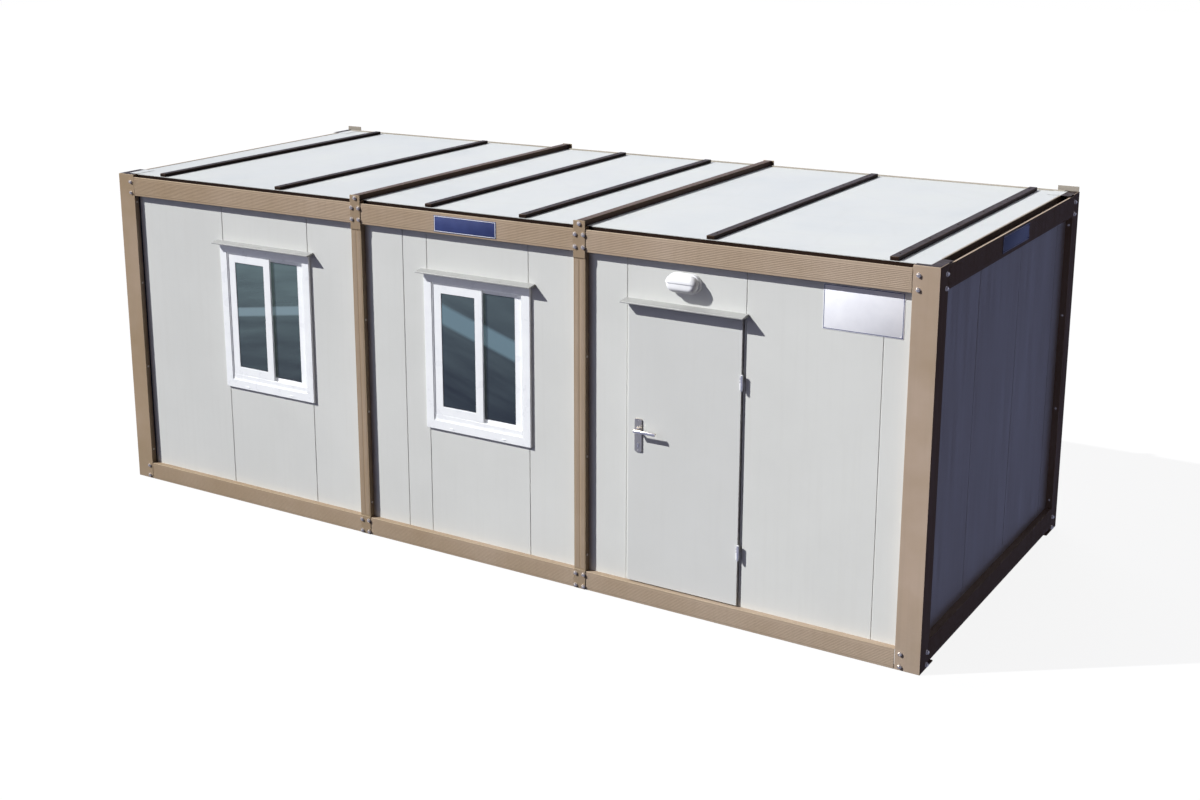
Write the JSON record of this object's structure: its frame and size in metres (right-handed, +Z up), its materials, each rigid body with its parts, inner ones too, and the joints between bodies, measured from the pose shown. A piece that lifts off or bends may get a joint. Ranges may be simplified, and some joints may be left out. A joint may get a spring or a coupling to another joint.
{
  "type": "portable site cabin",
  "caption": "Flat-pack portable site cabin with a bolted steel frame, sandwich wall panels, sliding windows and a hinged front door with a lever handle.",
  "frame": {"origin": "on the ground under the middle of the frame, on the underside of the middle floor joist", "axes": "+X along the long side towards the door's end, +Y from the front to the rear, +Z up"},
  "size_m": [7, 3.052, 2.69],
  "materials": {
    "frame_paint": "satin powder coat, beige",
    "panel_paint": "satin coil-coated sheet, light grey",
    "roof_paint": "satin coil-coated sheet, white",
    "seam_paint": "satin paint, dark brown",
    "white_pvc": "smooth extruded PVC, white",
    "window_glass": "clear float glass, faintly tinted",
    "floor_board": "coated plywood",
    "hinge_steel": "bright zinc plated",
    "handle_steel": "brushed",
    "lamp_housing": "moulded, white",
    "lamp_diffuser": "opal",
    "bolt_steel": "zinc plated",
    "seal_rubber": "matt black"
  },
  "bodies": {
    "root": {"post_front_left": "frame_paint", "post_front_right": "frame_paint", "post_rear_left": "frame_paint", "post_rear_right": "frame_paint", "column_front_left": "frame_paint", "column_front_right": "frame_paint", "column_rear_left": "frame_paint", "column_rear_right": "frame_paint", "column_plates": "frame_paint", "base_beam_front": "frame_paint", "base_beam_rear": "frame_paint", "base_beam_left": "frame_paint", "base_beam_right": "frame_paint", "roof_beam_front": "frame_paint", "roof_beam_rear": "frame_paint", "roof_beam_left": "frame_paint", "roof_beam_right": "frame_paint", "floor_joists": "frame_paint", "floor_deck": "floor_board", "wall_front_left_bay": "panel_paint", "wall_front_middle_bay": "panel_paint", "wall_front_door_bay": "panel_paint", "wall_rear": "panel_paint", "wall_left": "panel_paint", "wall_right": "panel_paint", "window_left_frame": "white_pvc", "window_left_sashes": "white_pvc", "window_left_glass": "window_glass", "window_right_frame": "white_pvc", "window_right_sashes": "white_pvc", "window_right_glass": "window_glass", "window_hoods": "panel_paint", "door_frame": "panel_paint", "hinge_pins": "hinge_steel", "door_hood": "panel_paint", "lamp_base": "lamp_housing", "lamp_lens": "lamp_diffuser", "lamp_visor": "lamp_housing", "roof_panels": "roof_paint", "roof_seam_caps": "seam_paint", "roof_cross_caps": "frame_paint"},
    "door": {"door_leaf": "panel_paint", "hinge_knuckles": "hinge_steel", "handle_plates": "handle_steel"},
    "handle": {"door_lever": "handle_steel"}
  },
  "joints": [
    {"name": "door_hinge", "type": "hinge", "parent": "root", "child": "door", "pos_m": [2.207, -1.48, 1.13], "axis": [0, 0, 1], "range_deg": [0, 110]},
    {"name": "lever_turn", "type": "hinge", "parent": "door", "child": "handle", "pos_m": [1.437, -1.472, 1.272], "axis": [0, 1, 0], "range_deg": [0, 45], "stiffness_Nm_per_rad": 2, "springref_deg": -28.65}
  ]
}
